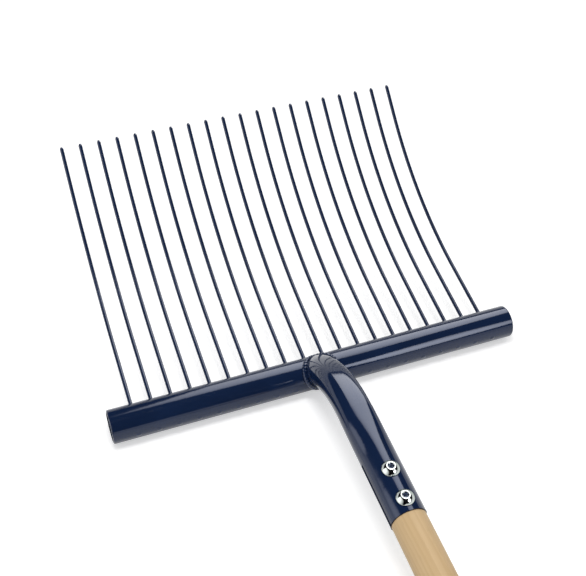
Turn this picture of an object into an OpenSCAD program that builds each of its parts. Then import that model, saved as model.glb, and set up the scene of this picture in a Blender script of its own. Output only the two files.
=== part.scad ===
// Stable fork with a row of bent wire tines, lying as it rests on the floor with its tips up.
// Shapes are drawn in the fork's side plane: x towards the tips, y towards the hollow side
// of the tines, z along the crossbar. in_rest_pose() then lays the fork down, +Z up.

/* [Tines] */
// Number of tines along the crossbar
tine_count = 20; // [6:2:24]
// Distance from one tine's middle to the next
tine_pitch = 20; // [16:0.5:26]
// Diameter of the tine wire
tine_d = 4; // [3:0.25:5]
// Height of the tines' roots above the crossbar's axis
tine_lift = 2; // [0:0.5:4]
// Angle by which the straight root dips
tine_root_dip = 13.5; // [8:0.5:18]
// Length of the straight root, from the crossbar's axis
tine_root_len = 83; // [50:1:110]
// Radius of the tine's bend
tine_bend_r = 370; // [300:5:450]
// Angle through which the tine bends up
tine_bend_angle = 31; // [20:0.5:40]
// Length of the straight tip after the bend
tine_tip_len = 34; // [10:1:60]

/* [Tubes] */
// Outer diameter of the crossbar and the neck, cut from one stock
tube_d = 33.7; // [28:0.1:38]
// Wall thickness of that tube
tube_wall = 2; // [1.5:0.1:2.6]
// Length of crossbar beyond the outermost tines
bar_margin = 25; // [15:1:40]
// Radius by which the crossbar's rims are rounded
rim_round = 1.6; // [0.4:0.1:1.8]

/* [Neck] */
// Angle at which the neck leaves the crossbar, from the side plane's x axis
neck_lean = 103.5; // [95:0.5:115]
// Radius of the neck's bend, at its centre line
neck_bend_r = 115; // [90:1:140]
// Angle through which the neck bends
neck_bend_angle = 55; // [45:0.5:65]
// Length of the straight socket after the bend
neck_socket_len = 114; // [100:1:140]
// How much the tube's radius shrinks where it is bent
neck_thinning = 0.2; // [0.1:0.05:0.4]
// Length of the two saw slits in the socket's mouth
slit_len = 62; // [40:1:75]
// Width of the slits
slit_w = 4; // [1:0.1:5]
// How far the neck stands beside the crossbar's middle
neck_offset = -1.6; // [-2:0.1:2]

/* [Handle] */
// Diameter of the wooden handle
handle_d = 32; // [30:0.5:36]
// Whole length of the handle, with the end inside the socket
handle_len = 1200; // [800:10:1500]
// Length of the turned-down end inside the socket
tenon_len = 90; // [60:1:95]

/* [Fasteners] */
// Diameter of the two cross screws
screw_d = 8; // [6:0.5:8]
// Length of their shanks, under the head
screw_len = 46; // [44:1:50]
// Distance of the lower screw from the socket's mouth
lower_screw_in = 12; // [10:0.5:16]
// Distance of the upper screw from the socket's mouth
upper_screw_in = 42; // [36:0.5:50]
// Diameter of the screws' domed heads
head_d = 16.2; // [15:0.1:18]
// Diameter of the washers
washer_d = 16.2; // [15:0.1:18]

/* [Welds] */
// Half width of the bead round the neck
bead_r = 2.6; // [2:0.1:3]
// Number of ripples in that bead
bead_ripples = 36; // [20:2:60]
// Outer diameter of the small fillet round each tine
fillet_d = 7.4; // [6.5:0.1:8]

/* [Hidden] */
$fn = 64;
slip = 0.05;
bend_fn = 360;
fine_fn = 240;
bar_r = tube_d / 2;
bore_r = bar_r - tube_wall;
bar_len = (tine_count - 1) * tine_pitch + 2 * bar_margin;
tine_r = tine_d / 2;
rim_steps = 4;
// A straight stretch of wire or tube runs this far into a bend, which is drawn thinner
lap = 0.3;
wire_thinning = 0.01;
// Dabs of weld over the tines' holes at the back
dab_r = 2.6;
dab_h = 0.5;
dab_ball_r = (dab_r * dab_r + dab_h * dab_h) / (2 * dab_h);

// Unit step in the side plane, at an angle from its x axis
function step(angle) = [cos(angle), sin(angle)];

// Turns a point of the side plane by an angle
function turned(p, angle) = [p.x * cos(angle) - p.y * sin(angle), p.x * sin(angle) + p.y * cos(angle)];

// The tine's centre line: a straight root, one bend, a straight tip
tine_through = bar_r - 0.95;
tine_start = [0, tine_lift];
tine_bend_start = tine_start + tine_root_len * step(-tine_root_dip);
tine_bend_centre = tine_bend_start + tine_bend_r * step(90 - tine_root_dip);
tine_rise = tine_bend_angle - tine_root_dip;
tine_bend_end = tine_bend_centre + tine_bend_r * step(tine_rise - 90);
tine_end = tine_bend_end + tine_tip_len * step(tine_rise);
tine_point_len = 2;
tine_point_r = tine_r * 0.55;

// The neck's centre line: one bend from the crossbar's axis, then the socket
neck_bend_centre = neck_bend_r * step(neck_lean + 90);
neck_heading = neck_lean + neck_bend_angle;
neck_bend_end = neck_bend_centre + neck_bend_r * step(neck_heading - 90);
socket_mouth = neck_bend_end + neck_socket_len * step(neck_heading);

bend_skin_r = bar_r - neck_thinning;

// The handle, whose shoulder sits on the socket's mouth
handle_r = handle_d / 2;
tenon_r = bore_r - slip;
shaft_len = handle_len - tenon_len;
shoulder_chamfer = 1.2;
dome_centre = socket_mouth + (shaft_len - handle_r) * step(neck_heading);

// The fork rests on the crossbar and on the handle's domed end
rest_tilt = atan2(dome_centre.x, dome_centre.y) + acos((handle_r - bar_r) / norm(dome_centre));
rest_front = turned(tine_end, rest_tilt).x;
rest_back = turned(dome_centre, rest_tilt).x - handle_r;
rest_shift = -(rest_front + rest_back) / 2;

// Cross screws, washers and nuts
screw_r = screw_d / 2;
hole_slack = 0.2;
head_r = head_d / 2;
head_rim = 0.6;
head_h = 4.6;
head_flat_r = screw_d * 0.54;
key_af = screw_d * 0.625;
key_depth = 2.8;
washer_t = 1.6;
nut_af = screw_d * 1.625;
nut_h = screw_d * 0.8;
collar_h = screw_d * 0.2;
collar_r = nut_af * 0.44;
insert_r = screw_d * 0.68;
insert_h = 2.2;
end_chamfer = 0.9;

// The bead's centre line stands a little above the seam of the two tubes
bead_gap = 1.2;
bead_stand = 1.1;
// Where the two skins run together the bead shrinks by this share and sinks by this depth
bead_shrink = 0.35;
bead_sink = 2.0;
bead_rings = 4 * bead_ripples;
bead_sides = 8;
bead_wave = 0.11;
bead_sweep = 0.9;
seam_reach = 40;
seam_halvings = 22;

function tine_name(i) = str("tine_", i < 10 ? "0" : "", i);
tine_names = [for (i = [1 : tine_count]) tine_name(i)];
FIXED_NODES = ["crossbar", "tine_welds", "neck", "neck_weld", "handle",
    "upper_screw", "lower_screw", "upper_washer", "lower_washer",
    "upper_nut", "lower_nut", "upper_nut_insert", "lower_nut_insert"];

navy = [0.07, 0.12, 0.26];
ash = [0.80, 0.69, 0.50];
zinc = [0.80, 0.81, 0.83];
nylon = [0.86, 0.86, 0.82];

// Lays the side plane down in the resting pose
module in_rest_pose() {
    translate([0, rest_shift, bar_r])
        rotate([rest_tilt, 0, 0])
            rotate([90, 0, 90])
                children();
}

// The same for the neck and all that it carries, which stand a little beside the middle
module in_neck_pose() {
    translate([neck_offset, 0, 0])
        in_rest_pose()
            children();
}

// Puts a shape at a point of the side plane, its z axis along an angle
module along(p, angle) {
    translate([p.x, p.y, 0])
        rotate([0, 0, angle])
            rotate([0, 90, 0])
                children();
}

// A round rod or hole bent in the side plane, from one heading through an angle
module bent_rod(centre, radius, heading, angle, r) {
    translate([centre.x, centre.y, 0])
        rotate([0, 0, heading - 90])
            rotate_extrude(angle = angle, $fn = bend_fn)
                translate([radius, 0])
                    circle(r = r, $fn = 64);
}

// Middle of tine number i along the crossbar
function tine_z(i) = (i - (tine_count + 1) / 2) * tine_pitch;

// The straight line of a tine through the crossbar, as a rod of radius r
module root_line(i, r, back, ahead) {
    translate([0, 0, tine_z(i)])
        along(tine_start - back * step(-tine_root_dip), -tine_root_dip)
            cylinder(h = back + ahead, r = r);
}

// Crossbar: a tube drilled through both walls for each tine, its rims rounded
module crossbar() {
    half = bar_len / 2;
    rim = [for (k = [0 : rim_steps]) [bar_r - rim_round, half - rim_round] + rim_round * step(90 * k / rim_steps)];
    foot = [for (k = [rim_steps : -1 : 0]) [rim[k].x, -rim[k].y]];
    color(navy)
        in_rest_pose()
            difference() {
                rotate_extrude()
                    polygon(concat([[bore_r, -half]], foot, rim, [[bore_r, half]]));
                for (i = [1 : tine_count])
                    root_line(i, tine_r + slip, tube_d, tube_d);
            }
}

// Tine: round wire with its root through the crossbar and a short blunt point
module tine(i) {
    color(navy)
        in_rest_pose() {
            root_line(i, tine_r, tine_through, tine_root_len + lap);
            translate([0, 0, tine_z(i)]) {
                bent_rod(tine_bend_centre, tine_bend_r, -tine_root_dip, tine_bend_angle,
                    tine_r - wire_thinning);
                along(tine_bend_end - lap * step(tine_rise), tine_rise)
                    rotate_extrude()
                        polygon([
                            [0, 0],
                            [tine_r, 0],
                            [tine_r, lap + tine_tip_len - tine_point_len],
                            [tine_point_r, lap + tine_tip_len],
                            [0, lap + tine_tip_len]
                        ]);
            }
        }
}

// The point where a tine's line leaves the crossbar's back, and the angle of the skin there
root_drop = tine_lift * sin(tine_root_dip);
root_exit = tine_start - (sqrt(root_drop * root_drop + bar_r * bar_r - tine_lift * tine_lift) - root_drop)
    * step(-tine_root_dip);
exit_angle = atan2(root_exit.y, root_exit.x);

// Profile of a fillet round a tine, hollow towards the corner
module fillet_profile() {
    leg = fillet_d / 2 - tine_r;
    depth = 2;
    hollow = 0.35 * leg;
    polygon([
        [tine_r, -depth],
        [tine_r + leg, -depth],
        [tine_r + leg, 0],
        [tine_r + hollow, hollow],
        [tine_r, leg]
    ]);
}

// Tine welds: a fillet round each tine in front and a low dab over each hole at the back
module tine_welds() {
    color(navy)
        in_rest_pose()
            difference() {
                for (i = [1 : tine_count])
                    translate([0, 0, tine_z(i)]) {
                        along(tine_start + (bar_r - 0.1) * step(-tine_root_dip), -tine_root_dip)
                            rotate_extrude($fn = 96)
                                fillet_profile();
                        along((bar_r + dab_h - dab_ball_r) * step(exit_angle), exit_angle)
                            sphere(r = dab_ball_r, $fn = 72);
                    }
                cylinder(h = bar_len, r = bar_r, center = true, $fn = fine_fn);
            }
}

// The neck's centre line as a solid of radius r, with extra length past the mouth
module neck_line(r, extra) {
    bent_rod(neck_bend_centre, neck_bend_r, neck_lean, neck_bend_angle, r - neck_thinning);
    along(neck_bend_end - lap * step(neck_heading), neck_heading)
        cylinder(h = lap + neck_socket_len + extra, r = r);
}

// Places a shape on the socket, z out of its upper side, x towards the mouth
module on_socket(distance) {
    p = socket_mouth - distance * step(neck_heading);
    translate([p.x, p.y, 0])
        rotate([0, 0, neck_heading])
            rotate([90, 0, 0])
                children();
}

// Neck: bent tube with a saddle cut, two slits in the socket and two cross holes
module neck() {
    color(navy)
        in_neck_pose()
            difference() {
                neck_line(bar_r, 0);
                neck_line(bore_r, 1);
                cylinder(h = 3 * tube_d, r = bar_r, center = true);
                on_socket(slit_len / 2 - 1)
                    cube([slit_len + 2, 2 * tube_d, slit_w], center = true);
                for (d = [lower_screw_in, upper_screw_in])
                    on_socket(d)
                        cylinder(h = 2 * tube_d, r = screw_r + hole_slack, center = true);
            }
}

// A point on the neck's skin: s along its centre line, phi round its section
function neck_skin(s, phi) =
    let (heading = neck_lean + s / neck_bend_r * 180 / PI)
    let (c = neck_bend_centre + neck_bend_r * step(heading - 90))
    let (p = c + bend_skin_r * cos(phi) * step(heading + 90))
    [p.x, p.y, bend_skin_r * sin(phi)];

// How far along the neck its skin stands clear of the crossbar, found by halving
function seam_s(phi, low, high, turns) =
    let (s = (low + high) / 2)
    let (p = neck_skin(s, phi))
    turns == 0 ? s :
    norm([p.x, p.y]) > bar_r + bead_gap ? seam_s(phi, low, s, turns - 1) : seam_s(phi, s, high, turns - 1);

function seam(phi) = neck_skin(seam_s(phi, 0, seam_reach, seam_halvings), phi);

function unit(v) = v / norm(v);

// Outward directions of the two tubes at a point of the seam
function bar_out(p) = unit([p.x, p.y, 0]);
function neck_out(p, phi) =
    let (heading = neck_lean + seam_s(phi, 0, seam_reach, seam_halvings) / neck_bend_r * 180 / PI)
    let (n = cos(phi) * step(heading + 90))
    [n.x, n.y, sin(phi)];

// One ring of the bead, swelling with each ripple and swept back at its crown
function bead_ring(k) =
    let (phi = 360 * k / bead_rings)
    let (p = seam(phi))
    let (along_seam = unit(seam(phi + 0.5) - seam(phi - 0.5)))
    let (nb = bar_out(p))
    let (nn = neck_out(p, phi))
    let (out = unit(nb + nn))
    let (side = cross(along_seam, out))
    let (together = pow(max(0, nb * nn), 4))
    let (c = p + bead_stand * (nb + nn) * (1 - 0.9 * nb * nn) - bead_sink * together * out)
    let (r = bead_r * (1 - bead_shrink * together) * (1 + bead_wave * cos(360 * k / 4)))
    [for (j = [0 : bead_sides - 1])
        let (a = 360 * j / bead_sides)
        c + r * (cos(a) * out + sin(a) * side) - bead_sweep * max(0, cos(a)) * along_seam];

// Neck weld: one rippled bead, closed round the saddle seam
module neck_weld() {
    points = [for (k = [0 : bead_rings - 1]) each bead_ring(k)];
    faces = [for (k = [0 : bead_rings - 1], j = [0 : bead_sides - 1])
        let (a = k * bead_sides)
        let (b = (k + 1) % bead_rings * bead_sides)
        let (n = (j + 1) % bead_sides)
        each [[a + j, b + j, b + n], [a + j, b + n, a + n]]];
    color(navy)
        in_neck_pose()
            polyhedron(points, faces);
}

// Handle: round shaft with a turned-down end, a shoulder and a domed free end
module handle() {
    color(ash)
        in_neck_pose()
            difference() {
                along(socket_mouth - tenon_len * step(neck_heading), neck_heading)
                    rotate_extrude() {
                        polygon([
                            [0, 0],
                            [tenon_r - shoulder_chamfer, 0],
                            [tenon_r, shoulder_chamfer],
                            [tenon_r, tenon_len],
                            [handle_r - shoulder_chamfer / 2, tenon_len],
                            [handle_r, tenon_len + shoulder_chamfer / 2],
                            [handle_r, handle_len - handle_r],
                            [0, handle_len - handle_r]
                        ]);
                        translate([0, handle_len - handle_r])
                            intersection() {
                                circle(r = handle_r);
                                square(handle_r);
                            }
                    }
                for (d = [lower_screw_in, upper_screw_in])
                    on_socket(d)
                        cylinder(h = 2 * tube_d, r = screw_r + hole_slack, center = true);
            }
}

// Cross screw: broad domed head with a flat top and a hexagon socket
module screw(distance) {
    cap_h = head_h - head_rim;
    dome_z = (cap_h * cap_h + head_flat_r * head_flat_r - head_r * head_r) / (2 * cap_h);
    dome_r = norm([head_r, dome_z]);
    key_r = key_af / 2 / cos(30);
    color(zinc)
        in_neck_pose()
            on_socket(distance)
                translate([0, 0, bar_r])
                    difference() {
                        union() {
                            intersection() {
                                cylinder(h = head_h, r = head_r);
                                translate([0, 0, head_rim + dome_z])
                                    sphere(r = dome_r, $fn = 96);
                            }
                            cylinder(h = head_rim, r = head_r);
                            translate([0, 0, end_chamfer - screw_len])
                                cylinder(h = screw_len - end_chamfer, r = screw_r);
                            translate([0, 0, -screw_len])
                                cylinder(h = end_chamfer, r1 = screw_r - end_chamfer, r2 = screw_r);
                        }
                        translate([0, 0, head_h - key_depth])
                            cylinder(h = key_depth + 1, r = key_r, $fn = 6);
                    }
}

// Washer under the socket
module washer(distance) {
    color(zinc)
        in_neck_pose()
            on_socket(distance)
                translate([0, 0, -bar_r - washer_t])
                    difference() {
                        cylinder(h = washer_t, r = washer_d / 2);
                        translate([0, 0, -1])
                            cylinder(h = washer_t + 2, r = screw_r + hole_slack);
                    }
}

// Places a shape on the washer's outer face, z pointing away from the socket
module on_washer(distance) {
    on_socket(distance)
        translate([0, 0, -bar_r - washer_t])
            rotate([180, 0, 0])
                children();
}

// Locking nut: a hexagon with broken corners and a collar for its insert
module nut(distance) {
    corner_r = nut_af / 2 / cos(30);
    chamfer = corner_r - nut_af / 2;
    color(zinc)
        in_neck_pose()
            on_washer(distance)
                difference() {
                    union() {
                        intersection() {
                            cylinder(h = nut_h, r = corner_r, $fn = 6);
                            rotate_extrude()
                                polygon([
                                    [0, 0],
                                    [nut_af / 2, 0],
                                    [corner_r, chamfer * 0.6],
                                    [corner_r, nut_h - chamfer * 0.6],
                                    [nut_af / 2, nut_h],
                                    [0, nut_h]
                                ]);
                        }
                        cylinder(h = nut_h + collar_h, r = collar_r);
                    }
                    translate([0, 0, -1])
                        cylinder(h = nut_h + collar_h + 2, r = screw_r + slip);
                    translate([0, 0, nut_h + collar_h - insert_h])
                        cylinder(h = insert_h + 1, r = insert_r);
                }
}

// Plastic ring in the locking nut's collar
module nut_insert(distance) {
    color(nylon)
        in_neck_pose()
            on_washer(distance)
                translate([0, 0, nut_h + collar_h - insert_h])
                    difference() {
                        cylinder(h = insert_h, r = insert_r - slip);
                        translate([0, 0, -1])
                            cylinder(h = insert_h + 2, r = screw_r + slip);
                    }
}

crossbar();
tine_welds();
neck();
neck_weld();
handle();
screw(upper_screw_in);  // upper_screw
screw(lower_screw_in);  // lower_screw
washer(upper_screw_in);  // upper_washer
washer(lower_screw_in);  // lower_washer
nut(upper_screw_in);  // upper_nut
nut(lower_screw_in);  // lower_nut
nut_insert(upper_screw_in);  // upper_nut_insert
nut_insert(lower_screw_in);  // lower_nut_insert
for (i = [1 : tine_count])
    tine(i);
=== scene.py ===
"""Dresses the stable fork's frame: gloss paint, ash wood, plated fasteners, weld beads and a plain studio.

Pieces are worked out in the fork's side plane, in metres: x towards the tips of the tines,
y towards their hollow side, z along the crossbar. resting() lays that plane down as the frame lies.
"""

import math

import bpy
from bpy.props import (
    FloatProperty,
    FloatVectorProperty,
    IntProperty,
    PointerProperty,
)
from mathutils import Matrix, Vector, noise


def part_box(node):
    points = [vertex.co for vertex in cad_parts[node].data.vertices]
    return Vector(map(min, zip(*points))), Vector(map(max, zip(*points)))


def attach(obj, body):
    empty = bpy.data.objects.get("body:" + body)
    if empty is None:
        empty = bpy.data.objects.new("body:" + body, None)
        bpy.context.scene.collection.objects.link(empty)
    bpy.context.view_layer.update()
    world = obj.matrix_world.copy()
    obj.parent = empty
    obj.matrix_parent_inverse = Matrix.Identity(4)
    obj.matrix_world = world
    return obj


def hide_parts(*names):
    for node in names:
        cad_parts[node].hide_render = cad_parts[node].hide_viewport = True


bl_info = {
    "name": "Stable Fork Finish",
    "version": (1, 0, 0),
    "blender": (4, 5, 0),
    "location": "3D View > Sidebar > Fork",
    "description": "Dresses a stable fork: gloss paint, ash wood, plated fasteners and weld beads",
    "category": "Object",
}

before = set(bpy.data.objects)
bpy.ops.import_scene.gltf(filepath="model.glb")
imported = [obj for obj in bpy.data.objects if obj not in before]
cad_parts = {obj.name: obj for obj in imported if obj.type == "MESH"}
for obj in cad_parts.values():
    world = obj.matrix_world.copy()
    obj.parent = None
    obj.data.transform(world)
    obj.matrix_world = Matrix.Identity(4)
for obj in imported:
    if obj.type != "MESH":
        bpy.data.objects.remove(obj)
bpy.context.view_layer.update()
BODY = "root"
MM = 0.001
TINES = [name for name in sorted(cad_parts) if name[-2:].isdigit()]
SCREW_PLACES = ("lower", "upper")
BAR_LOW, BAR_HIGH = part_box("crossbar")
BAR_MIDDLE = (BAR_LOW + BAR_HIGH) / 2
TUBE = (BAR_HIGH.y - BAR_LOW.y) / 2
BEND_FADE = (-62 * MM, 8 * MM)
HEAD_RIM, HEAD_FLAT = 0.6 * MM, 4.1 * MM
THREADED = 12 * MM
RING_HEIGHT = 2.2 * MM
PLATED_EDGE = (0.36, 0.40, 0.37, 1)
# Painted shade: the key recess in the screw heads is coloured darker and bluer than the plating.
RECESS_SHADE_COLOUR = (0.34, 0.40, 0.52)
RECESS_ROUGHNESS = 0.55
SOFT_EDGE = 0.93
FLOOR_HALF = 6.0


class ForkShape(bpy.types.PropertyGroup):
    """How the neck and the tines stand, as the frame has them."""

    rest_tilt: FloatProperty(
        name="Resting tilt",
        description="Angle between the fork's side plane and the floor",
        default=math.radians(23.6940),
        subtype="ANGLE",
    )
    neck_lean: FloatProperty(
        name="Neck lean",
        description="Angle at which the neck leaves the crossbar",
        default=math.radians(103.5),
        subtype="ANGLE",
    )
    neck_bend: FloatProperty(
        name="Neck bend radius",
        description="Radius of the neck's bend, at its centre line",
        default=115 * MM,
        unit="LENGTH",
    )
    neck_turn: FloatProperty(
        name="Neck bend angle",
        description="Angle through which the neck bends",
        default=math.radians(55),
        subtype="ANGLE",
    )
    flatness: FloatProperty(
        name="Bend flatness",
        description="How much flatter than round the back of the neck's bend is",
        default=0.92,
        min=0,
        max=1,
        subtype="FACTOR",
    )
    flat_half: FloatProperty(
        name="Flat half width",
        description="Half width of the bend's flattened back",
        default=12 * MM,
        unit="LENGTH",
    )
    socket: FloatProperty(
        name="Socket length",
        description="Length of the straight socket after the bend",
        default=114 * MM,
        unit="LENGTH",
    )
    neck_aside: FloatProperty(
        name="Neck offset",
        description="How far the neck stands beside the crossbar's middle",
        default=-1.6 * MM,
        unit="LENGTH",
    )
    root_dip: FloatProperty(
        name="Tine dip",
        description="Angle by which the tines' straight roots dip",
        default=math.radians(13.5),
        subtype="ANGLE",
    )
    root_lift: FloatProperty(
        name="Tine lift",
        description="Height of the tines' roots above the crossbar's axis",
        default=2 * MM,
        unit="LENGTH",
    )
    tine_radius: FloatProperty(
        name="Wire radius",
        description="Radius of the tine wire",
        default=2 * MM,
        unit="LENGTH",
    )


class ForkPaint(bpy.types.PropertyGroup):
    """The gloss paint on every steel part but the fasteners."""

    colour: FloatVectorProperty(
        name="Paint",
        description="Colour of the gloss paint",
        default=(0.0066, 0.0165, 0.052),
        min=0,
        max=1,
        subtype="COLOR",
    )
    roughness: FloatProperty(
        name="Roughness",
        description="How much the gloss blurs what it mirrors",
        default=0.09,
        min=0,
        max=1,
        subtype="FACTOR",
    )
    peel: FloatProperty(
        name="Peel height",
        description="Height of the paint's faint orange peel",
        default=0.012 * MM,
        unit="LENGTH",
        precision=6,
    )


class ForkWood(bpy.types.PropertyGroup):
    """The turned ash handle."""

    pale: FloatVectorProperty(
        name="Pale wood",
        description="Colour of the early growth",
        default=(0.640, 0.455, 0.245),
        min=0,
        max=1,
        subtype="COLOR",
    )
    dark: FloatVectorProperty(
        name="Dark wood",
        description="Colour of the late growth",
        default=(0.520, 0.335, 0.155),
        min=0,
        max=1,
        subtype="COLOR",
    )
    # Painted shade: a near-black colour for the wood within the socket, standing in for the shade that its slits
    # show.
    slit_shade: FloatVectorProperty(
        name="Wood in the slits",
        description="Colour of the shadowed wood that shows in the socket's slits",
        default=(0.004, 0.004, 0.004),
        min=0,
        max=1,
        subtype="COLOR",
    )
    ring: FloatProperty(
        name="Growth ring",
        description="Width of one year's growth",
        default=3.2 * MM,
        unit="LENGTH",
    )


class ForkFasteners(bpy.types.PropertyGroup):
    """The two cross screws with their washers and locking nuts."""

    colour: FloatVectorProperty(
        name="Plating",
        description="Colour of the bright zinc plating",
        default=(0.56, 0.60, 0.58),
        min=0,
        max=1,
        subtype="COLOR",
    )
    shank: FloatProperty(
        name="Shank radius",
        description="Radius of the screws' shanks",
        default=4 * MM,
        unit="LENGTH",
    )
    pitch: FloatProperty(
        name="Thread pitch",
        description="Rise of the thread in one turn",
        default=1.25 * MM,
        unit="LENGTH",
    )
    length: FloatProperty(
        name="Shank length",
        description="Length of the screws under their heads",
        default=46 * MM,
        unit="LENGTH",
    )
    dome: FloatProperty(
        name="Head radius",
        description="Radius of the screws' domed heads",
        default=8.1 * MM,
        unit="LENGTH",
    )
    washer_out: FloatProperty(
        name="Washer radius",
        description="Radius of the washers",
        default=8.1 * MM,
        unit="LENGTH",
    )
    head: FloatProperty(
        name="Head height",
        description="Height of the domed heads",
        default=4.6 * MM,
        unit="LENGTH",
    )
    key: FloatProperty(
        name="Key width",
        description="Width of the hexagon sockets, across their flats",
        default=5 * MM,
        unit="LENGTH",
    )
    washer: FloatProperty(
        name="Washer thickness",
        description="Thickness of the washers",
        default=1.6 * MM,
        unit="LENGTH",
    )
    nut: FloatProperty(
        name="Nut width",
        description="Width of the nuts, across their flats",
        default=13 * MM,
        unit="LENGTH",
    )
    nut_height: FloatProperty(
        name="Nut height",
        description="Height of the nuts' hexagons",
        default=6.4 * MM,
        unit="LENGTH",
    )
    lower_in: FloatProperty(
        name="Lower screw",
        description="Distance of the lower screw from the socket's mouth",
        default=12 * MM,
        unit="LENGTH",
    )
    upper_in: FloatProperty(
        name="Upper screw",
        description="Distance of the upper screw from the socket's mouth",
        default=42 * MM,
        unit="LENGTH",
    )


class ForkWelds(bpy.types.PropertyGroup):
    """The bead round the neck and the small welds at the tines."""

    bead: FloatProperty(
        name="Bead radius",
        description="Half width of the bead round the neck",
        default=2.6 * MM,
        unit="LENGTH",
    )
    stand: FloatProperty(
        name="Bead stand",
        description="How far the bead's middle stands out of the seam",
        default=1.1 * MM,
        unit="LENGTH",
    )
    sink: FloatProperty(
        name="Bead sink",
        description="How far the bead's middle sinks where the two skins run together",
        default=2.0 * MM,
        unit="LENGTH",
    )
    ripples: IntProperty(
        name="Ripples",
        description="Number of ripples in the bead",
        default=36,
        min=8,
        max=90,
    )
    fillet: FloatProperty(
        name="Fillet leg",
        description="Width of the fillet round each tine",
        default=1.7 * MM,
        unit="LENGTH",
    )


class ForkStage(bpy.types.PropertyGroup):
    """Camera, floor and lamps."""

    camera_at: FloatVectorProperty(
        name="Camera",
        description="Place of the camera",
        default=(-0.25906, -0.07138, 0.77052),
        subtype="TRANSLATION",
        unit="LENGTH",
    )
    camera_turn: FloatVectorProperty(
        name="Camera angles",
        description="Turn of the camera",
        default=(math.radians(45.282), math.radians(-1.132), math.radians(-20.107)),
        subtype="EULER",
        unit="ROTATION",
    )
    lens: FloatProperty(
        name="Lens",
        description="Focal length of the camera, for a 36 mm sensor",
        default=59.70,
        min=1,
        unit="CAMERA",
    )
    floor: FloatVectorProperty(
        name="Floor",
        description="Colour of the floor",
        default=(0.80, 0.80, 0.80),
        min=0,
        max=1,
        subtype="COLOR",
    )
    lift: FloatProperty(
        name="Floor lift",
        description="How much brighter than it is lit the floor looks",
        default=0.48,
        min=0,
    )
    around: FloatProperty(
        name="Surround",
        description="Brightness of the white room that lights the set",
        default=0.55,
        min=0,
    )
    overhead: FloatProperty(
        name="Overhead lamp",
        description="Power of the soft lamp above the fork",
        default=8.0,
        unit="POWER",
        min=0,
    )
    back_lamp: FloatProperty(
        name="Back lamp",
        description="Brightness of the large lamp behind the fork",
        default=5.4,
        min=0,
    )
    side_lamp: FloatProperty(
        name="Side lamp",
        description="Brightness of the small lamp beside the camera",
        default=7.0,
        min=0,
    )
    left_card: FloatProperty(
        name="Left card",
        description="Brightness of the pale card at the left",
        default=1.89,
        min=0,
    )


def step(angle):
    """Unit step in the side plane, at an angle from its x axis."""
    return Vector((math.cos(angle), math.sin(angle), 0))


def resting():
    """Matrix that lays the side plane down round the crossbar's axis, as the frame lies."""
    laid = Matrix(((0, 0, 1), (1, 0, 0), (0, 1, 0))).to_4x4()
    tilt = bpy.context.scene.fork_shape.rest_tilt
    return Matrix.Translation(BAR_MIDDLE) @ Matrix.Rotation(tilt, 4, "X") @ laid


def neck_resting():
    """The same for the neck and all that it carries, which stand a little beside the middle."""
    aside = bpy.context.scene.fork_shape.neck_aside
    return Matrix.Translation((aside, 0, 0)) @ resting()


def neck_centre(shape):
    """Centre of the neck's bend, in the side plane."""
    return shape.neck_bend * step(shape.neck_lean + math.pi / 2)


def socket_mouth(shape):
    """Middle of the socket's mouth, in the side plane."""
    heading = shape.neck_lean + shape.neck_turn
    bend_end = neck_centre(shape) + shape.neck_bend * step(heading - math.pi / 2)
    return bend_end + shape.socket * step(heading)


def on_socket(distance):
    """Matrix of a place on the socket's axis: z out of its upper side, x towards the mouth."""
    shape = bpy.context.scene.fork_shape
    heading = shape.neck_lean + shape.neck_turn
    place = socket_mouth(shape) - distance * step(heading)
    turn = Matrix.Rotation(heading, 4, "Z") @ Matrix.Rotation(math.pi / 2, 4, "X")
    return neck_resting() @ Matrix.Translation(place) @ turn


def under_socket(distance, offset=0.0):
    """Matrix of a place on the washer side of the socket, z pointing away from the tube."""
    down = Matrix.Translation((0, 0, -TUBE - offset))
    return on_socket(distance) @ down @ Matrix.Rotation(math.pi, 4, "X")


def new_piece(name, points, faces, material, place, stands_for, sharp=40):
    """Makes a smooth mesh piece that rides on the fork and stands for CAD nodes."""
    mesh = bpy.data.meshes.new(name)
    mesh.from_pydata(points, [], faces)
    if mesh.validate():
        raise RuntimeError(f"{name} has faces that Blender had to mend")
    mesh.shade_smooth()
    mesh.set_sharp_from_angle(angle=math.radians(sharp))
    mesh.materials.append(material)
    piece = bpy.data.objects.new(name, mesh)
    bpy.context.scene.collection.objects.link(piece)
    piece.matrix_world = place
    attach(piece, BODY)
    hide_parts(*stands_for)
    return piece


def stacked(rings, closed=False):
    """Faces through a stack of like rings: capped at both ends, or closed on itself."""
    count = len(rings[0])
    points = [point for ring in rings for point in ring]
    faces = []
    spans = len(rings) if closed else len(rings) - 1
    for i in range(spans):
        a, b = i * count, (i + 1) % len(rings) * count
        for j in range(count):
            k = (j + 1) % count
            faces.append((a + j, a + k, b + k, b + j))
    if not closed:
        faces.append(tuple(reversed(range(count))))
        faces.append(tuple(range(len(points) - count, len(points))))
    return points, faces


def turned(profile, sides):
    """Rings of a turned form. The profile's steps are (radius, z); a radius may be a function of the angle."""
    rings = []
    for radius, z in profile:
        ring = []
        for j in range(sides):
            angle = 2 * math.pi * j / sides
            r = radius(angle) if callable(radius) else radius
            ring.append((r * math.cos(angle), r * math.sin(angle), z))
        rings.append(ring)
    return rings


def hexagon(flats):
    """Radius of a hexagon, by angle, from its width across the flats."""

    def radius(angle):
        return flats / 2 / math.cos((angle % (math.pi / 3)) - math.pi / 6)

    return radius


def arc(centre_r, centre_z, radius, start, end, steps):
    """Profile steps along an arc, angles in degrees from the radial direction."""
    made = []
    for i in range(steps + 1):
        a = math.radians(start + (end - start) * i / steps)
        made.append((centre_r + radius * math.cos(a), centre_z + radius * math.sin(a)))
    return made


def finish_nodes(name):
    """A new node material: its tree and its Principled shader."""
    material = bpy.data.materials.new(name)
    material.use_nodes = True
    tree = material.node_tree
    return material, tree, tree.nodes["Principled BSDF"]


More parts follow.
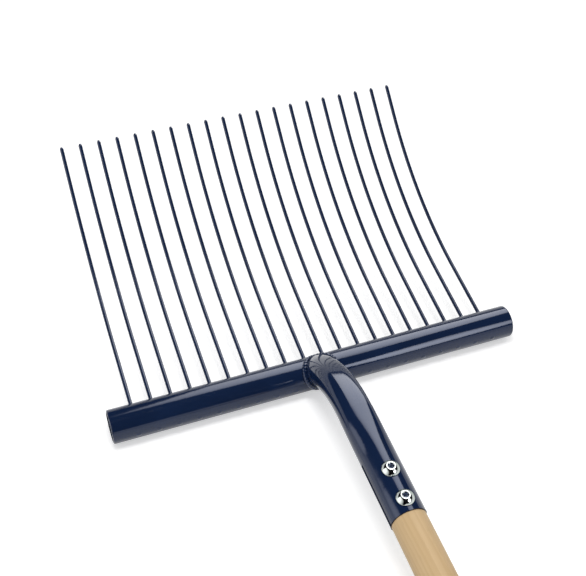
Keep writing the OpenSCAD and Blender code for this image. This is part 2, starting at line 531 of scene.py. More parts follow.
def add_node(tree, kind, settings=None, **inputs):
    """Adds a node; inputs are values or sockets, by name with _ for a space, or by number after an i."""
    node = tree.nodes.new(kind)
    for key, value in (settings or {}).items():
        setattr(node, key, value)
    for key, value in inputs.items():
        by_number = key[0] == "i" and key[1:].isdigit()
        socket = node.inputs[int(key[1:]) if by_number else key.replace("_", " ")]
        if isinstance(value, bpy.types.NodeSocket):
            tree.links.new(value, socket)
        else:
            socket.default_value = value
    return node


def speckle(tree, where, scale, detail=2.0, roughness=0.5):
    """A soft noise pattern, 0 to 1."""
    node = add_node(tree, "ShaderNodeTexNoise", Vector=where, Scale=scale, Detail=detail, Roughness=roughness)
    return node.outputs["Fac"]


def ranged(tree, value, low, high, to_low=0.0, to_high=1.0):
    """Maps a pattern's range to another, clamped."""
    node = add_node(tree, "ShaderNodeMapRange", Value=value)
    for key, number in (("From Min", low), ("From Max", high), ("To Min", to_low), ("To Max", to_high)):
        node.inputs[key].default_value = number
    return node.outputs["Result"]


def maths(tree, operation, a, b=0.0):
    """One sum of two numbers or patterns."""
    return add_node(tree, "ShaderNodeMath", {"operation": operation}, i0=a, i1=b).outputs[0]


def blended(tree, factor, a, b, blend="MIX"):
    """A colour between two colours."""
    node = add_node(tree, "ShaderNodeMix", {"data_type": "RGBA", "blend_type": blend})
    for index, value in ((0, factor), (6, a), (7, b)):
        socket = node.inputs[index]
        if isinstance(value, bpy.types.NodeSocket):
            tree.links.new(value, socket)
        elif index:
            socket.default_value = (*value, 1)
        else:
            socket.default_value = value
    return node.outputs[2]


def object_place(tree):
    """The surface's place, in the object's own metres."""
    return add_node(tree, "ShaderNodeTexCoord").outputs["Object"]


def shaded(colour, factor):
    """A colour made lighter or darker."""
    return tuple(min(1.0, channel * factor) for channel in colour)


def gloss_paint(flattened=False):
    """Deep gloss paint on steel: faint orange peel, a slow waviness and a little unevenness in its shine.

    The neck's paint also shows how the tube flattened on the outside of its bend.
    """
    title = "gloss_paint_bent" if flattened else "gloss_paint"
    made = bpy.data.materials.get(title)
    if made:
        return made
    paint = bpy.context.scene.fork_paint
    material, tree, shader = finish_nodes(title)
    where = object_place(tree)
    cloud = ranged(tree, speckle(tree, where, 22, 3), 0.35, 0.65)
    colour = blended(tree, cloud, shaded(paint.colour, 0.92), shaded(paint.colour, 1.10))
    shine = ranged(tree, speckle(tree, where, 60, 3), 0.3, 0.7, paint.roughness * 0.8, paint.roughness * 1.25)
    peel = add_node(
        tree, "ShaderNodeBump", Height=speckle(tree, where, 420, 1.5), Distance=paint.peel, Strength=1.0
    )
    wave = add_node(
        tree,
        "ShaderNodeBump",
        Height=speckle(tree, where, 75, 1.0),
        Distance=paint.peel * 6,
        Strength=1.0,
        Normal=peel.outputs[0],
    )
    if flattened:
        wave = add_node(
            tree,
            "ShaderNodeBump",
            Height=bend_flat(tree, where),
            Distance=1.0,
            Strength=1.0,
            Normal=wave.outputs[0],
        )
    tree.links.new(colour, shader.inputs["Base Color"])
    tree.links.new(shine, shader.inputs["Roughness"])
    tree.links.new(wave.outputs[0], shader.inputs["Normal"])
    shader.inputs["IOR"].default_value = 1.5
    shader.inputs["Specular Tint"].default_value = (0.80, 0.85, 1.0, 1)
    return material


def bend_flat(tree, where):
    """Height, in metres, that turns the bend's round back into a flatter one, fading out along the socket."""
    shape = bpy.context.scene.fork_shape
    mouth = neck_resting() @ socket_mouth(shape)
    bend_end = mouth.y + shape.socket
    parts = add_node(tree, "ShaderNodeSeparateXYZ", i0=where)
    aside = maths(tree, "SUBTRACT", parts.outputs[0], shape.neck_aside)
    near = maths(tree, "DIVIDE", aside, shape.flat_half)
    share = maths(tree, "MULTIPLY", near, near)
    round_back = maths(tree, "SUBTRACT", 1.0, maths(tree, "EXPONENT", maths(tree, "MULTIPLY", share, -1.0)))
    deep = shape.flatness * shape.flat_half ** 2 / (2 * TUBE)
    along = ranged(tree, parts.outputs[1], bend_end + BEND_FADE[0], bend_end + BEND_FADE[1])
    along.node.interpolation_type = "SMOOTHERSTEP"
    return maths(tree, "MULTIPLY", maths(tree, "MULTIPLY", round_back, along), deep)


def ash_wood():
    """Pale turned ash: growth rings round a pith outside the shaft, long fibres and fine open pores. Within the
    socket, where it shows through the slits, the wood is painted near black as shade.
    """
    wood = bpy.context.scene.fork_wood
    shape = bpy.context.scene.fork_shape
    material, tree, shader = finish_nodes("ash_wood")
    mouth = neck_resting() @ socket_mouth(shape)
    heading = shape.neck_lean + shape.neck_turn + shape.rest_tilt - math.pi
    along = add_node(tree, "ShaderNodeMapping", {"vector_type": "TEXTURE"}, Vector=object_place(tree))
    along.inputs["Location"].default_value = mouth
    along.inputs["Rotation"].default_value = (heading, 0, 0)
    place = along.outputs[0]
    drift = add_node(tree, "ShaderNodeMapping", Vector=place)
    drift.inputs["Scale"].default_value = (14, 1.6, 14)
    bent = add_node(
        tree,
        "ShaderNodeVectorMath",
        {"operation": "MULTIPLY_ADD"},
        i0=add_node(tree, "ShaderNodeTexNoise", Vector=drift.outputs[0], Scale=1.0, Detail=2.0).outputs["Color"],
        i1=(0.010, 0.0, 0.010),
        i2=place,
    ).outputs[0]
    parts = add_node(tree, "ShaderNodeSeparateXYZ", i0=bent)
    across = maths(tree, "ADD", parts.outputs[0], 0.026)
    lean = maths(tree, "MULTIPLY", parts.outputs[1], 0.022)
    upright = maths(tree, "ADD", maths(tree, "ADD", parts.outputs[2], lean), 0.052)
    distance = maths(
        tree,
        "SQRT",
        maths(tree, "ADD", maths(tree, "POWER", across, 2.0), maths(tree, "POWER", upright, 2.0)),
    )
    year = maths(tree, "FRACT", maths(tree, "DIVIDE", distance, wood.ring))
    late = maths(tree, "MULTIPLY", ranged(tree, year, 0.25, 0.92), ranged(tree, year, 1.0, 0.93))
    fibre_map = add_node(tree, "ShaderNodeMapping", Vector=place)
    fibre_map.inputs["Scale"].default_value = (900, 14, 900)
    fibre = speckle(tree, fibre_map.outputs[0], 1.0, 3, 0.6)
    pore_map = add_node(tree, "ShaderNodeMapping", Vector=place)
    pore_map.inputs["Scale"].default_value = (2600, 110, 2600)
    pore_spot = ranged(tree, speckle(tree, pore_map.outputs[0], 1.0, 1), 0.62, 0.72)
    early = ranged(tree, year, 0.30, 0.05)
    pore = maths(tree, "MULTIPLY", pore_spot, early)
    streak_map = add_node(tree, "ShaderNodeMapping", Vector=place)
    streak_map.inputs["Scale"].default_value = (120, 2.2, 120)
    streak = ranged(tree, speckle(tree, streak_map.outputs[0], 1.0, 3), 0.35, 0.65)
    tone = blended(tree, maths(tree, "MULTIPLY", late, 0.42), wood.pale, wood.dark)
    tone = blended(tree, maths(tree, "MULTIPLY", ranged(tree, fibre, 0.3, 0.75), 0.30), tone, wood.dark)
    tone = blended(tree, maths(tree, "MULTIPLY", streak, 0.25), tone, shaded(wood.pale, 1.1))
    tone = blended(tree, maths(tree, "MULTIPLY", pore, 0.45), tone, shaded(wood.dark, 0.55))
    # Painted shade: past the socket's mouth the wood is coloured near black, for the shade that the slits show.
    slit_shade_mask = ranged(tree, add_node(tree, "ShaderNodeSeparateXYZ", i0=place).outputs[1], 0.2 * MM, 1.0 * MM)
    tone = blended(tree, slit_shade_mask, tone, wood.slit_shade)
    tree.links.new(tone, shader.inputs["Base Color"])
    tree.links.new(ranged(tree, fibre, 0.2, 0.8, 0.38, 0.56), shader.inputs["Roughness"])
    grain = add_node(
        tree, "ShaderNodeBump", Height=maths(tree, "SUBTRACT", fibre, pore), Distance=0.05 * MM, Strength=0.6
    )
    tree.links.new(grain.outputs[0], shader.inputs["Normal"])
    shader.inputs["IOR"].default_value = 1.45
    shader.inputs["Specular IOR Level"].default_value = 0.35
    return material


def plating(name, colour, roughness, scratch, recess=None):
    """Zinc plating on steel: slightly cloudy, with faint scratches and duller edges.

    recess: height of a screw's top; the key's recess below it is painted a darker blue-grey as shade, and made
    dull.
    """
    made = bpy.data.materials.get(name)
    if made:
        return made
    material, tree, shader = finish_nodes(name)
    where = object_place(tree)
    cloud = ranged(tree, speckle(tree, where, 320, 3), 0.3, 0.7)
    tone = blended(tree, cloud, shaded(colour, 0.90), shaded(colour, 1.06))
    blur = ranged(tree, speckle(tree, where, 900, 2), 0.3, 0.7, roughness * 0.7, roughness * 1.4)
    fine = add_node(tree, "ShaderNodeBump", Height=speckle(tree, where, 2600, 2), Distance=scratch, Strength=1.0)
    if recess:
        parts = add_node(tree, "ShaderNodeSeparateXYZ", i0=where).outputs
        level = add_node(tree, "ShaderNodeCombineXYZ", X=parts[0], Y=parts[1]).outputs[0]
        off_axis = add_node(tree, "ShaderNodeVectorMath", {"operation": "LENGTH"}, i0=level).outputs["Value"]
        under_top = ranged(tree, parts[2], recess - 0.2 * MM, recess - 0.6 * MM)
        over_seat = ranged(tree, parts[2], 0.0, 0.1 * MM)
        deep = maths(tree, "MULTIPLY", under_top, over_seat)
        key = maths(tree, "MULTIPLY", deep, ranged(tree, off_axis, 3.3 * MM, 3.1 * MM))
        # Painted shade: the key's recess is coloured a darker blue-grey than the plating round it.
        tone = blended(tree, key, tone, RECESS_SHADE_COLOUR)
        blur = maths(tree, "MAXIMUM", blur, maths(tree, "MULTIPLY", key, RECESS_ROUGHNESS))
    tree.links.new(tone, shader.inputs["Base Color"])
    tree.links.new(blur, shader.inputs["Roughness"])
    tree.links.new(fine.outputs[0], shader.inputs["Normal"])
    shader.inputs["Metallic"].default_value = 1.0
    shader.inputs["Specular Tint"].default_value = PLATED_EDGE
    return material


def nut_plating(fasteners):
    """The duller zinc of the washers and nuts."""
    return plating("nut_plating", shaded(fasteners.colour, 1.06), 0.24, 0.003 * MM)


def nylon():
    """The pale plastic of the nuts' locking rings."""
    material, tree, shader = finish_nodes("nylon")
    where = object_place(tree)
    cloud = speckle(tree, where, 500, 2)
    tree.links.new(blended(tree, cloud, (0.70, 0.70, 0.64), (0.80, 0.80, 0.75)), shader.inputs["Base Color"])
    tree.links.new(ranged(tree, cloud, 0.2, 0.8, 0.32, 0.48), shader.inputs["Roughness"])
    return material


def paint_node(name, material):
    """Gives a CAD node a material in place of its own."""
    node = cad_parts[name]
    node.data.materials.clear()
    node.data.materials.append(material)
    return node


class FORK_OT_crossbar(bpy.types.Operator):
    """Paint the crossbar"""

    bl_idname = "fork.crossbar"
    bl_label = "Crossbar"

    def execute(self, context):
        paint_node("crossbar", gloss_paint())
        return {"FINISHED"}


class FORK_OT_tines(bpy.types.Operator):
    """Paint the tines"""

    bl_idname = "fork.tines"
    bl_label = "Tines"

    def execute(self, context):
        if not TINES:
            raise RuntimeError("the frame has no tines")
        for name in TINES:
            paint_node(name, gloss_paint())
        return {"FINISHED"}


class FORK_OT_neck(bpy.types.Operator):
    """Paint the neck"""

    bl_idname = "fork.neck"
    bl_label = "Neck"

    def execute(self, context):
        paint_node("neck", gloss_paint(flattened=True))
        return {"FINISHED"}


def neck_skin(shape, radius, s, phi):
    """A point on the neck's skin: s along its centre line, phi round its section."""
    heading = shape.neck_lean + s / shape.neck_bend
    middle = neck_centre(shape) + shape.neck_bend * step(heading - math.pi / 2)
    return middle + radius * (math.cos(phi) * step(heading + math.pi / 2) + math.sin(phi) * Vector((0, 0, 1)))


def seam_point(shape, phi):
    """Where the neck's skin comes clear of the crossbar: the point, and how far along the neck it lies."""
    gap = 1.2 * MM
    skin = TUBE - 0.2 * MM
    low, high = 0.0, 40 * MM
    for _ in range(30):
        s = (low + high) / 2
        point = neck_skin(shape, skin, s, phi)
        if math.hypot(point.x, point.y) > TUBE + gap:
            high = s
        else:
            low = s
    return point, s


class FORK_OT_neck_weld(bpy.types.Operator):
    """Lay the rippled bead round the neck's foot"""

    bl_idname = "fork.neck_weld"
    bl_label = "Neck weld"

    def execute(self, context):
        scene = context.scene
        shape, welds = scene.fork_shape, scene.fork_welds
        per_ripple, sides = 12, 28
        count = welds.ripples * per_ripple
        rings = []
        for k in range(count):
            phi = 2 * math.pi * k / count
            point, s = seam_point(shape, phi)
            ahead = seam_point(shape, phi + 0.01)[0] - seam_point(shape, phi - 0.01)[0]
            run = ahead.normalized()
            off_bar = Vector((point.x, point.y, 0)).normalized()
            heading = shape.neck_lean + s / shape.neck_bend
            off_neck = math.cos(phi) * step(heading + math.pi / 2) + Vector((0, 0, math.sin(phi)))
            out = (off_bar + off_neck).normalized()
            side = run.cross(out)
            meet = off_bar.dot(off_neck)
            together = max(0.0, meet) ** 4
            middle = point + welds.stand * (off_bar + off_neck) * (1 - 0.9 * meet) - welds.sink * together * out
            thick = welds.bead * (1 - 0.35 * together)
            drift = noise.noise(point * 160)
            ring = []
            for j in range(sides):
                a = 2 * math.pi * j / sides
                crown = max(0.0, math.cos(a))
                turn = k / per_ripple - 0.55 * crown + 0.25 * drift
                lobe = abs(math.sin(math.pi * turn)) ** 0.7
                wide = 1 + 0.05 * noise.noise(point * 90 + Vector((0, 0, 3)))
                r = thick * wide * (0.90 + 0.20 * lobe * (0.4 + 0.6 * crown))
                ring.append(middle + r * (math.cos(a) * out + math.sin(a) * side))
            rings.append(ring)
        points, faces = stacked(rings, closed=True)
        new_piece(
            "neck_bead", points, faces, gloss_paint(), neck_resting(), ["neck_weld"], sharp=180
        )
        return {"FINISHED"}


class FORK_OT_tine_welds(bpy.types.Operator):
    """Lay the small welds at the front and the back of every tine"""

    bl_idname = "fork.tine_welds"
    bl_label = "Tine welds"

    def execute(self, context):
        scene = context.scene
        shape, welds = scene.fork_shape, scene.fork_welds
        wire = shape.tine_radius
        points, faces = [], []
        sides = 32
        for number, name in enumerate(TINES):
            low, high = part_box(name)
            z = (low.x + high.x) / 2 - BAR_MIDDLE.x
            for back in (False, True):
                turn = math.pi - shape.root_dip if back else -shape.root_dip
                profile = (self.dab if back else self.fillet)(wire, welds.fillet)
                rings = []
                for radius, height in profile:
                    ring = []
                    for j in range(sides):
                        a = 2 * math.pi * j / sides
                        out = Vector((math.cos(a), math.sin(a)))
                        wobble = 1 + 0.10 * noise.noise(Vector((out.x, out.y, 2.7 * number + 9 * back)))
                        r = wire + (radius - wire) * wobble if radius > wire and not back else radius * wobble
                        ring.append(self.on_tube(shape, turn, out * r, z, height))
                    rings.append(ring)
                got, made = stacked(rings)
                start = len(points)
                points += got
                faces += [tuple(start + i for i in face) for face in made]
        new_piece(
            "tine_root_welds", points, faces, gloss_paint(), resting(), ["tine_welds"], sharp=60
        )
        return {"FINISHED"}

    @staticmethod
    def fillet(wire, leg):
        """Profile of a hollow fillet up the wire: radius, and height over the tube's skin."""
        steps = 7
        made = [(wire + leg, None)]
        for i in range(1, steps + 1):
            a = math.pi / 2 * i / steps
            made.append((wire + leg * (1 - math.sin(a)), leg * (1 - math.cos(a))))
        return made + [(wire * 0.9, leg)]

    @staticmethod
    def dab(wire, leg):
        """Profile of a low dab over the wire's hole: radius, and height over the tube's skin."""
        reach, high = wire + leg * 0.5, 0.45 * MM
        made = [(reach, None)]
        for i in range(7):
            t = 1 - i / 7
            made.append((reach * t, high * (1 - t * t)))
        return made + [(reach * 0.05, high)]

    @staticmethod
    def on_tube(shape, turn, out, z, height):
        """Point beside a tine's axis, at a height over the tube's skin; no height means sunk into it."""
        along = step(turn)
        across = step(turn + math.pi / 2)
        start = Vector((0, shape.root_lift, 0)) + across * out.x + Vector((0, 0, z + out.y))
        # distance along the axis at which the line from start leaves the tube
        b = start.x * along.x + start.y * along.y
        c = start.x ** 2 + start.y ** 2 - TUBE ** 2
        leaves = -b + math.sqrt(max(0.0, b * b - c))
        rise = -0.5 * MM if height is None else height
        return start + along * (leaves + rise)


class FORK_OT_handle(bpy.types.Operator):
    """Give the handle its wood"""

    bl_idname = "fork.handle"
    bl_label = "Handle"

    def execute(self, context):
        paint_node("handle", ash_wood())
        return {"FINISHED"}


def screw_distance(place):
    """Distance of a screw from the socket's mouth."""
    fasteners = bpy.context.scene.fork_fasteners
    return fasteners.lower_in if place == "lower" else fasteners.upper_in


class FORK_OT_screws(bpy.types.Operator):
    """Make the two domed screws"""

    bl_idname = "fork.screws"
    bl_label = "Screws"

    def execute(self, context):
        fasteners = context.scene.fork_fasteners
        zinc = plating("screw_plating", fasteners.colour, 0.08, 0.0008 * MM, recess=fasteners.head)
        points, faces = stacked(self.rings(fasteners))
        for place in SCREW_PLACES:
            on_top = on_socket(screw_distance(place)) @ Matrix.Translation((0, 0, TUBE))
            new_piece(
                f"{place}_domed_screw", points, faces, zinc, on_top, [f"{place}_screw"], sharp=35
            )
        return {"FINISHED"}

    @staticmethod
    def rings(fasteners):
        """Rings of the screw, from the end of its thread over the dome into the key's socket."""
        sides = 96
        shank, pitch, length = fasteners.shank, fasteners.pitch, fasteners.length
        depth = 0.60 * pitch
        threaded = THREADED
        rows = 8
        profile = []
        turns = int(threaded / pitch * rows)
        for i in range(turns + 1):
            z = -length + i * pitch / rows

            def thread(angle, z=z, i=i):
                share = (z / pitch - angle / (2 * math.pi)) % 1.0
                ridge = min(1.0, max(0.0, (abs(share - 0.5) * 2 - 0.12) / 0.70))
                r = shank - depth * (1 - ridge) * min(1.0, (turns - i) / 6)
                return min(r, shank - 1.0 * MM + (z + length))

            profile.append((thread, z))
        profile.append((shank, -length + threaded + 0.4 * MM))
        dome, head = fasteners.dome, fasteners.head
        rim, flat = HEAD_RIM, HEAD_FLAT
        cap = head - rim
        middle = (cap * cap + flat * flat - dome * dome) / (2 * cap)
        ball = math.hypot(dome, middle)
        start = math.degrees(math.asin(-middle / ball))
        end = math.degrees(math.acos(flat / ball))
        profile += [(shank, -0.02 * MM), (dome - 0.25 * MM, 0.0)]
        profile += arc(dome - 0.22 * MM, 0.22 * MM, 0.22 * MM, -70, 0, 4)
        profile += [(dome, rim - 0.12 * MM)]
        profile += arc(0, rim + middle, ball, start + 0.8, end - 1.2, 18)
        profile += [
            (flat + 0.02 * MM, head - 0.04 * MM),
            (flat - 0.16 * MM, head - 0.01 * MM),
            (flat - 0.4 * MM, head),
        ]
        key = fasteners.key
        corner = key / math.sqrt(3)
        profile += [
            (corner + 0.20 * MM, head - 0.01 * MM),
            (corner + 0.02 * MM, head - 0.12 * MM),
            (hexagon(key), head - 0.34 * MM),
            (hexagon(key * 0.995), head - 2.60 * MM),
            (hexagon(key * 0.93), head - 2.80 * MM),
            (key * 0.30, head - 3.05 * MM),
            (key * 0.05, head - 3.30 * MM),
        ]
        return turned(profile, sides)


class FORK_OT_washers(bpy.types.Operator):
    """Make the two washers"""

    bl_idname = "fork.washers"
    bl_label = "Washers"

    def execute(self, context):
        fasteners = context.scene.fork_fasteners
        zinc = nut_plating(fasteners)
        outer, inner, thick = fasteners.washer_out, fasteners.shank + 0.2 * MM, fasteners.washer
        round_out, round_in = 0.28 * MM, 0.15 * MM
        profile = arc(outer - round_out, round_out, round_out, -90, 0, 4)
        profile += arc(outer - round_out, thick - round_out, round_out, 0, 90, 4)
        profile += arc(inner + round_in, thick - round_in, round_in, 90, 180, 3)
        profile += arc(inner + round_in, round_in, round_in, 180, 270, 3)
        points, faces = stacked(turned(profile, 72), closed=True)
        for place in SCREW_PLACES:
            new_piece(
                f"{place}_round_washer",
                points,
                faces,
                zinc,
                under_socket(screw_distance(place)),
                [f"{place}_washer"],
            )
        return {"FINISHED"}


def ring_room(fasteners):
    """The room for a nut's plastic ring: top of the nut's collar, seat of the ring and the room's radius."""
    top = fasteners.nut_height + 0.2 * fasteners.shank * 2
    return top, top - RING_HEIGHT, fasteners.shank * 2 * 0.68


class FORK_OT_nuts(bpy.types.Operator):
    """Make the two locking nuts"""

    bl_idname = "fork.nuts"
    bl_label = "Nuts"

    def execute(self, context):
        fasteners = context.scene.fork_fasteners
        zinc = nut_plating(fasteners)
        points, faces = stacked(turned(self.profile(fasteners), 96), closed=True)
        for place in SCREW_PLACES:
            new_piece(
                f"{place}_locking_nut",
                points,
                faces,
                zinc,
                under_socket(screw_distance(place), fasteners.washer),
                [f"{place}_nut"],
                sharp=32,
            )
        return {"FINISHED"}

    @staticmethod
    def profile(fasteners):
        """Profile of the nut from its bore over the washer's side, the hexagon and the collar."""
        flats, height = fasteners.nut, fasteners.nut_height
        bore = fasteners.shank + 0.05 * MM
        six = hexagon(flats)
        slope = math.tan(math.radians(30))
        crown = flats / 2 - 0.15 * MM

        def bevelled(rise):
            return lambda angle: min(six(angle), crown + rise / slope)

        made = [(bore + 0.5 * MM, 0.0), (crown, 0.0)]
        rises = [i * 0.1 * MM for i in range(1, 9)]
        made += [(bevelled(rise), rise) for rise in rises]
        made += [(bevelled(rise), height - rise) for rise in reversed(rises)]
        made.append((crown, height))
        collar = flats * 0.44
        top, seat, inner = ring_room(fasteners)
        made += [(collar + 0.5 * MM, height + 0.02 * MM), (collar + 0.12 * MM, height + 0.14 * MM)]
        made += [(collar, height + 0.45 * MM)]
        made += arc(collar - 0.14 * MM, top - 0.14 * MM, 0.14 * MM, 0, 180, 6)
        made += [(inner, seat), (bore, seat), (bore, 0.5 * MM)]
        return made


class FORK_OT_nut_inserts(bpy.types.Operator):
    """Make the nuts' plastic locking rings"""

    bl_idname = "fork.nut_inserts"
    bl_label = "Nut inserts"

    def execute(self, context):
        fasteners = context.scene.fork_fasteners
        plastic = nylon()
        inner = fasteners.shank + 0.05 * MM
        top, seat, room = ring_room(fasteners)
        outer = room - 0.05 * MM
        profile = [(outer, seat), (outer, top - 0.35 * MM)]
        profile += arc(outer - 0.3 * MM, top - 0.42 * MM, 0.3 * MM, 10, 90, 4)
        profile += arc(inner + 0.3 * MM, top - 0.42 * MM, 0.3 * MM, 90, 170, 4)
        profile += [(inner, top - 0.6 * MM), (inner, seat)]
        points, faces = stacked(turned(profile, 64), closed=True)
        for place in SCREW_PLACES:
            new_piece(
                f"{place}_locking_ring",
                points,
                faces,
                plastic,
                under_socket(screw_distance(place), fasteners.washer),
                [f"{place}_nut_insert"],
            )
        return {"FINISHED"}


def lamp_panel(name, centre, across, upright, size, strength, falls):
    """A flat lamp. falls: how its brightness changes across, upright, and from its middle to its rim."""
    across, upright = Vector(across).normalized(), Vector(upright).normalized()
    middle = Vector(centre)
    corners = [(-1, -1), (1, -1), (1, 1), (-1, 1)]
    points = [middle + across * size[0] / 2 * u + upright * size[1] / 2 * v for u, v in corners]
    mesh = bpy.data.meshes.new(name)
    mesh.from_pydata([p - middle for p in points], [], [(0, 1, 2, 3)])
    layer = mesh.uv_layers.new(name="UVMap")
    for loop, (u, v) in enumerate(corners):
        layer.data[loop].uv = (u, v)
    panel = bpy.data.objects.new(name, mesh)
    panel.location = middle
    bpy.context.scene.collection.objects.link(panel)
    material = bpy.data.materials.new(name)
    material.use_nodes = True
    tree = material.node_tree
    tree.nodes.clear()
    parts = add_node(tree, "ShaderNodeSeparateXYZ", i0=add_node(tree, "ShaderNodeTexCoord").outputs["UV"])
    u, v = parts.outputs[0], parts.outputs[1]
    off_u, off_v = maths(tree, "ABSOLUTE", u), maths(tree, "ABSOLUTE", v)
    rim = maths(tree, "ADD", maths(tree, "POWER", off_u, 2.0), maths(tree, "POWER", off_v, 2.0))
    level = maths(tree, "ADD", maths(tree, "MULTIPLY", u, falls[0]), 1.0)
    level = maths(tree, "ADD", maths(tree, "MULTIPLY", v, falls[1]), level)
    level = maths(tree, "ADD", maths(tree, "MULTIPLY", rim, falls[2]), level)
    soft_u, soft_v = ranged(tree, off_u, 1.0, SOFT_EDGE), ranged(tree, off_v, 1.0, SOFT_EDGE)
    level = maths(tree, "MULTIPLY", maths(tree, "MAXIMUM", level, 0.0), maths(tree, "MULTIPLY", soft_u, soft_v))
    light = add_node(tree, "ShaderNodeEmission", Strength=maths(tree, "MULTIPLY", level, strength))
    out = add_node(tree, "ShaderNodeOutputMaterial")
    tree.links.new(light.outputs[0], out.inputs["Surface"])
    mesh.materials.append(material)
    panel.visible_camera = False
    panel.visible_diffuse = False
    panel.visible_shadow = False
    return panel


class FORK_OT_stage(bpy.types.Operator):
    """Set up the floor, the lamps and the camera"""

    bl_idname = "fork.stage"
    bl_label = "Stage"

    def execute(self, context):
        stage = context.scene.fork_stage
        self.floor(stage)
        self.surround(context.scene)
        self.lamps(stage)
        self.overhead(stage)
        self.camera(context.scene, stage)
        context.scene.view_settings.view_transform = "Standard"
        return {"FINISHED"}

    @staticmethod
    def seen(tree):
        """1 for what the camera sees, directly, mirrored or through something clear."""
        path = add_node(tree, "ShaderNodeLightPath").outputs
        mirrored = maths(tree, "MAXIMUM", path["Is Glossy Ray"], path["Is Transmission Ray"])
        return maths(tree, "MAXIMUM", path["Is Camera Ray"], mirrored)

    def floor(self, stage):
        half = FLOOR_HALF
        corners = [(-half, -half, 0), (half, -half, 0), (half, half, 0), (-half, half, 0)]
        mesh = bpy.data.meshes.new("floor")
        mesh.from_pydata(corners, [], [(0, 1, 2, 3)])
        floor = bpy.data.objects.new("floor", mesh)
        bpy.context.scene.collection.objects.link(floor)
        material = bpy.data.materials.new("pale_floor")
        material.use_nodes = True
        tree = material.node_tree
        tree.nodes.clear()
        plain = add_node(tree, "ShaderNodeBsdfDiffuse", Color=(*stage.floor, 1))
        lift = maths(tree, "MULTIPLY", self.seen(tree), stage.lift)
        glow = add_node(tree, "ShaderNodeEmission", Strength=lift)
        both = add_node(tree, "ShaderNodeAddShader", i0=plain.outputs[0], i1=glow.outputs[0])
        out = add_node(tree, "ShaderNodeOutputMaterial")
        tree.links.new(both.outputs[0], out.inputs["Surface"])
        mesh.materials.append(material)

    def surround(self, scene):
        world = bpy.data.worlds.new("studio")
        scene.world = world
        world.use_nodes = True
        tree = world.node_tree
        back = tree.nodes["Background"]
        back.inputs["Color"].default_value = (1, 1, 1, 1)
        around = bpy.context.scene.fork_stage.around
        tree.links.new(ranged(tree, self.seen(tree), 0, 1, around, 1.0), back.inputs["Strength"])
        self.shade()

    @staticmethod
    def shade():
        """A dark dome over the set, which only the gloss sees."""
        radius, low, rows, sides = 5.5, math.radians(13), 8, 48
        rings = []
        for i in range(rows + 1):
            up = low + (math.pi / 2 - 0.02 - low) * i / rows
            rings.append(
                [
                    (
                        radius * math.cos(up) * math.cos(2 * math.pi * j / sides),
                        radius * math.cos(up) * math.sin(2 * math.pi * j / sides),
                        radius * math.sin(up),
                    )
                    for j in range(sides)
                ]
            )
        points, faces = stacked(rings)
        mesh = bpy.data.meshes.new("dark_ceiling")
        mesh.from_pydata(points, [], faces[:-2] + faces[-1:])
        material, tree, shader = finish_nodes("dark_ceiling")
        shader.inputs["Base Color"].default_value = (0.02, 0.02, 0.022, 1)
        shader.inputs["Roughness"].default_value = 1.0
        shader.inputs["Specular IOR Level"].default_value = 0.0
        mesh.materials.append(material)
        dome = bpy.data.objects.new("dark_ceiling", mesh)
        bpy.context.scene.collection.objects.link(dome)
        dome.visible_camera = False
        dome.visible_diffuse = False

    @staticmethod
    def lamps(stage):
        for name, lamp, strength in (
            ("back_lamp", BACK_LAMP, stage.back_lamp),
            ("side_lamp", SIDE_LAMP, stage.side_lamp),
            ("left_card", LEFT_CARD, stage.left_card),
        ):
            lamp_panel(name, strength=strength, **lamp)

    @staticmethod
    def overhead(stage):
        """The soft lamp that lays the shadows under the fork; the gloss doesn't mirror it."""
        data = bpy.data.lights.new("overhead_lamp", "AREA")
        data.shape = "RECTANGLE"
        data.size, data.size_y = OVERHEAD["size"]
        data.energy = stage.overhead
        lamp = bpy.data.objects.new("overhead_lamp", data)
        bpy.context.scene.collection.objects.link(lamp)
        lamp.location = OVERHEAD["centre"]
        lamp.visible_glossy = False

    @staticmethod
    def camera(scene, stage):
        data = bpy.data.cameras.new("camera")
        data.sensor_width = 36
        data.lens = stage.lens
        camera = bpy.data.objects.new("camera", data)
        scene.collection.objects.link(camera)
        camera.location = stage.camera_at
        camera.rotation_euler = stage.camera_turn
        scene.camera = camera


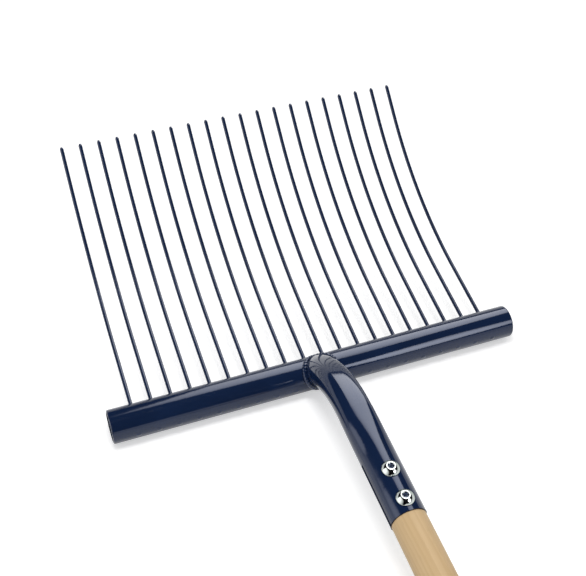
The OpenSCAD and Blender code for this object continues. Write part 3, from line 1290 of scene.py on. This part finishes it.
OVERHEAD = {"centre": (-0.14, 0.42, 1.4), "size": (0.42, 0.42)}
BACK_LAMP = {
    "centre": (0.346, 1.203, 1.128),
    "across": (0.703, -0.706, -0.081),
    "upright": (-0.141, -0.250, 0.958),
    "size": (1.07, 1.49),
    "falls": (0.11, -0.27, -0.29),
}
SIDE_LAMP = {
    "centre": (0.602, -0.454, 0.715),
    "across": (-0.612, -0.753, -0.241),
    "upright": (-0.440, 0.071, 0.895),
    "size": (0.64, 0.58),
    "falls": (0.16, 0.04, -0.30),
}
LEFT_CARD = {
    "centre": (-1.159, 0.256, 0.25),
    "across": (-0.441, 0.812, 0.382),
    "upright": (0.453, -0.165, 0.876),
    "size": (2.47, 1.79),
    "falls": (0.93, 0.19, -0.80),
}


class FORK_PT_panel(bpy.types.Panel):
    """The fork's sizes, colours and pieces"""

    bl_idname = "FORK_PT_panel"
    bl_label = "Stable Fork"
    bl_space_type = "VIEW_3D"
    bl_region_type = "UI"
    bl_category = "Fork"

    def draw(self, context):
        for title, name, group in GROUPS:
            box = self.layout.box()
            box.label(text=title)
            settings = getattr(context.scene, name)
            for key in group.__annotations__:
                box.prop(settings, key)
        for operator in OPERATORS:
            self.layout.operator(operator.bl_idname)


GROUPS = (
    ("Shape", "fork_shape", ForkShape),
    ("Paint", "fork_paint", ForkPaint),
    ("Wood", "fork_wood", ForkWood),
    ("Fasteners", "fork_fasteners", ForkFasteners),
    ("Welds", "fork_welds", ForkWelds),
    ("Stage", "fork_stage", ForkStage),
)
OPERATORS = (
    FORK_OT_stage,
    FORK_OT_crossbar,
    FORK_OT_tines,
    FORK_OT_tine_welds,
    FORK_OT_neck,
    FORK_OT_neck_weld,
    FORK_OT_handle,
    FORK_OT_screws,
    FORK_OT_washers,
    FORK_OT_nuts,
    FORK_OT_nut_inserts,
)


def register():
    for _, name, group in GROUPS:
        bpy.utils.register_class(group)
        setattr(bpy.types.Scene, name, PointerProperty(type=group))
    for made in (*OPERATORS, FORK_PT_panel):
        bpy.utils.register_class(made)


def unregister():
    for made in reversed((*OPERATORS, FORK_PT_panel)):
        bpy.utils.unregister_class(made)
    for _, name, group in reversed(GROUPS):
        delattr(bpy.types.Scene, name)
        bpy.utils.unregister_class(group)


def main():
    register()
    for operator in OPERATORS:
        category, name = operator.bl_idname.split(".")
        getattr(getattr(bpy.ops, category), name)()
    bpy.context.view_layer.update()


if __name__ == "__main__":
    main()
